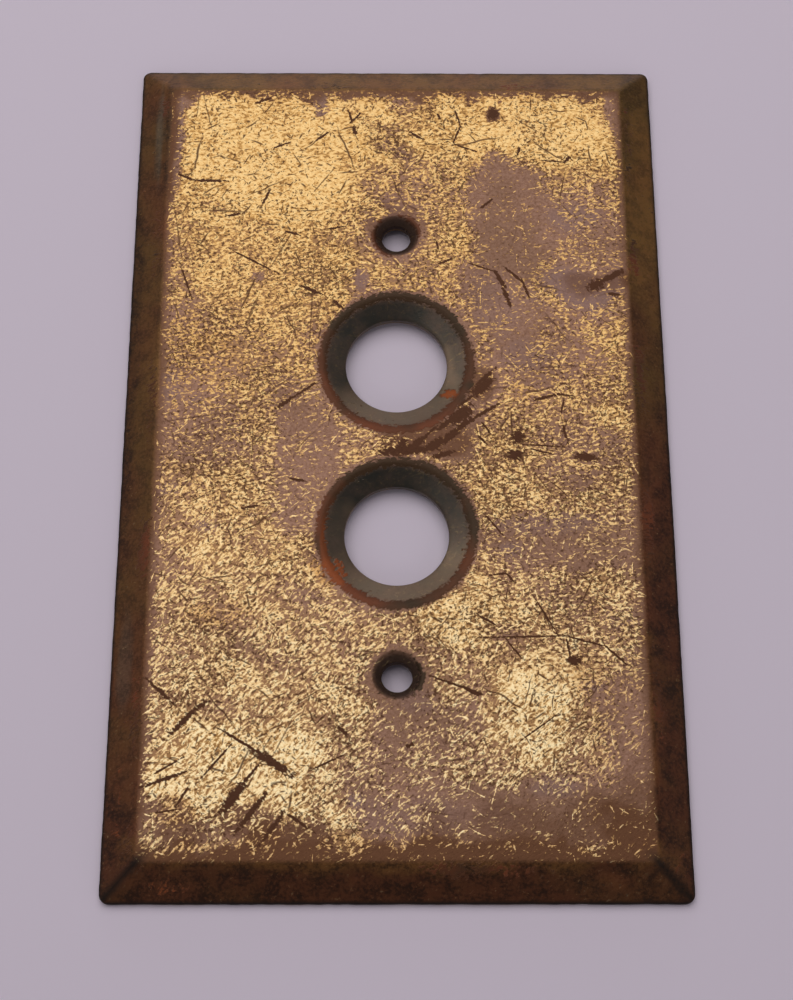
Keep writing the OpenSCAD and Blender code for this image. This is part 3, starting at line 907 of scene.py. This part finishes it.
    # Heights in millimetres, least on the drawn slopes round the openings, which are smooth
    relief = add("Math", {0: specks, 1: -0.012}, operation="MULTIPLY")
    relief = add("Math", {0: grain, 1: 0.07, 2: relief}, operation="MULTIPLY_ADD")
    smooth = add("Math", {0: wear["dish"], 1: -0.85, 2: 1.0}, operation="MULTIPLY_ADD")
    relief = add("Math", {0: relief, 1: smooth}, operation="MULTIPLY")
    relief = add("Math", {0: rusty, 1: 0.03, 2: relief}, operation="MULTIPLY_ADD")
    bump = add("Bump", {"Height": relief, "Distance": MM})

    parts = add("SeparateXYZ", {0: gloss})
    shader = add("BsdfPrincipled", {
        "Base Color": colour, "Metallic": parts.outputs[0], "Roughness": parts.outputs[1], "Normal": bump,
    })
    add("OutputMaterial", {"Surface": shader})
    return material


# ---- The stage


def painted_floor(colour):
    """Matt painted board: an even pale surface without gloss."""
    material = bpy.data.materials.new("matt_painted_board")
    material.use_nodes = True
    shader = material.node_tree.nodes["Principled BSDF"]
    shader.inputs["Base Color"].default_value = (*colour, 1)
    shader.inputs["Roughness"].default_value = 0.9
    return material


def aimed(place, target, roll=0.0):
    """A matrix that stands at place and looks down its own -Z at the target, leaning by roll."""
    forward = (Vector(target) - Vector(place)).normalized()
    right = forward.cross(Vector((0, 0, 1))).normalized()
    up = right.cross(forward)
    right, up = right * math.cos(roll) + up * math.sin(roll), up * math.cos(roll) - right * math.sin(roll)
    turn = Matrix((right, up, -forward)).transposed().to_4x4()
    return Matrix.Translation(place) @ turn


def soft_panel(name, place, size, power, colour):
    """A rectangular light that faces the plate. place and size are in metres."""
    light = bpy.data.lights.new(name, "AREA")
    light.shape = "RECTANGLE"
    light.size, light.size_y = size
    light.energy = power
    light.color = linear(colour)
    panel = bpy.data.objects.new(name, light)
    panel.matrix_world = aimed(place, (0, 0, 0))
    bpy.context.scene.collection.objects.link(panel)


# The panels: name, place, size, which power, and colour
PANELS = (
    ("overhead_panel", (-0.08, 0.27, 0.54), (0.90, 0.78), "key_power", WARM_WHITE),
    ("left_panel", (-0.80, 0.20, 0.35), (0.5, 0.3), "fill_power", COOL_WHITE),
    ("right_panel", (0.80, 0.20, 0.35), (0.5, 0.3), "fill_power", COOL_WHITE),
    ("far_panel", (0.0, 1.1, 0.25), (1.2, 0.4), "far_power", COOL_WHITE),
    ("near_left_panel", (-0.75, -0.90, 0.45), (0.9, 0.55), "near_power", WARM_WHITE),
    ("near_right_panel", (0.75, -0.90, 0.45), (0.9, 0.55), "near_power", WARM_WHITE),
)


class PressPlate(bpy.types.Operator):
    """Press the plate from brass sheet and give it its worn finish"""

    bl_idname = "switch_plate.press_plate"
    bl_label = "Press the Plate"

    def execute(self, context):
        shape, plate = press_plate(context.scene.plate_sizes)
        mesh = plate.data
        points, normals = np.empty((2, 3 * len(mesh.vertices)))
        mesh.vertices.foreach_get("co", points)
        mesh.vertices.foreach_get("normal", normals)
        store_maps(mesh, wear_maps(shape, points.reshape(-1, 3), normals.reshape(-1, 3)))
        mesh.materials.append(aged_brass(context.scene.brass_finish))
        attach(plate, "root")
        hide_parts("cover_plate")
        return {"FINISHED"}


class LayStage(bpy.types.Operator):
    """Lay the floor and set up the lights and the camera"""

    bl_idname = "switch_plate.lay_stage"
    bl_label = "Lay the Stage"

    def execute(self, context):
        settings = context.scene.stage_settings
        reach, below = 3.0, -0.02 * MM
        floor_mesh = bpy.data.meshes.new("floor")
        signs = ((-1, -1), (1, -1), (1, 1), (-1, 1))
        corners = [(reach * x, reach * y, below) for x, y in signs]
        floor_mesh.from_pydata(corners, [], [(0, 1, 2, 3)])
        floor_mesh.materials.append(painted_floor(settings.floor))
        floor = bpy.data.objects.new("floor", floor_mesh)
        context.scene.collection.objects.link(floor)

        for name, place, size, power, colour in PANELS:
            soft_panel(name, place, size, getattr(settings, power), colour)

        world = bpy.data.worlds.new("studio")
        world.use_nodes = True
        sky = world.node_tree.nodes["Background"]
        sky.inputs["Color"].default_value = (*linear(ROOM_WHITE), 1)
        sky.inputs["Strength"].default_value = settings.room
        context.scene.world = world
        context.scene.view_settings.view_transform = "Standard"

        lens = bpy.data.cameras.new("camera")
        lens.lens = settings.lens
        lens.sensor_width = 36
        lens.clip_start = 0.01
        camera = bpy.data.objects.new("camera", lens)
        camera.matrix_world = aimed(settings.camera_at, settings.camera_aim, settings.camera_roll)
        context.scene.collection.objects.link(camera)
        context.scene.camera = camera
        return {"FINISHED"}


class PlatePanel(bpy.types.Panel):
    """Buttons and settings for the plate and its stage"""

    bl_idname = "VIEW3D_PT_switch_plate"
    bl_label = "Switch Cover Plate"
    bl_space_type = "VIEW_3D"
    bl_region_type = "UI"
    bl_category = "Plate"

    def draw(self, context):
        for operator, group in STEPS:
            self.layout.operator(operator.bl_idname)
            for kind, name in group:
                settings = getattr(context.scene, name)
                for setting in kind.__annotations__:
                    self.layout.prop(settings, setting)


STEPS = (
    (PressPlate, ((PlateSizes, "plate_sizes"), (BrassFinish, "brass_finish"))),
    (LayStage, ((StageSettings, "stage_settings"),)),
)


def register():
    for operator, groups in STEPS:
        bpy.utils.register_class(operator)
        for kind, name in groups:
            bpy.utils.register_class(kind)
            setattr(bpy.types.Scene, name, PointerProperty(type=kind))
    bpy.utils.register_class(PlatePanel)


def unregister():
    bpy.utils.unregister_class(PlatePanel)
    for operator, groups in reversed(STEPS):
        for kind, name in reversed(groups):
            delattr(bpy.types.Scene, name)
            bpy.utils.unregister_class(kind)
        bpy.utils.unregister_class(operator)


def main():
    register()
    bpy.ops.switch_plate.press_plate()
    bpy.ops.switch_plate.lay_stage()
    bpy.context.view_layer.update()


if __name__ == "__main__":
    main()
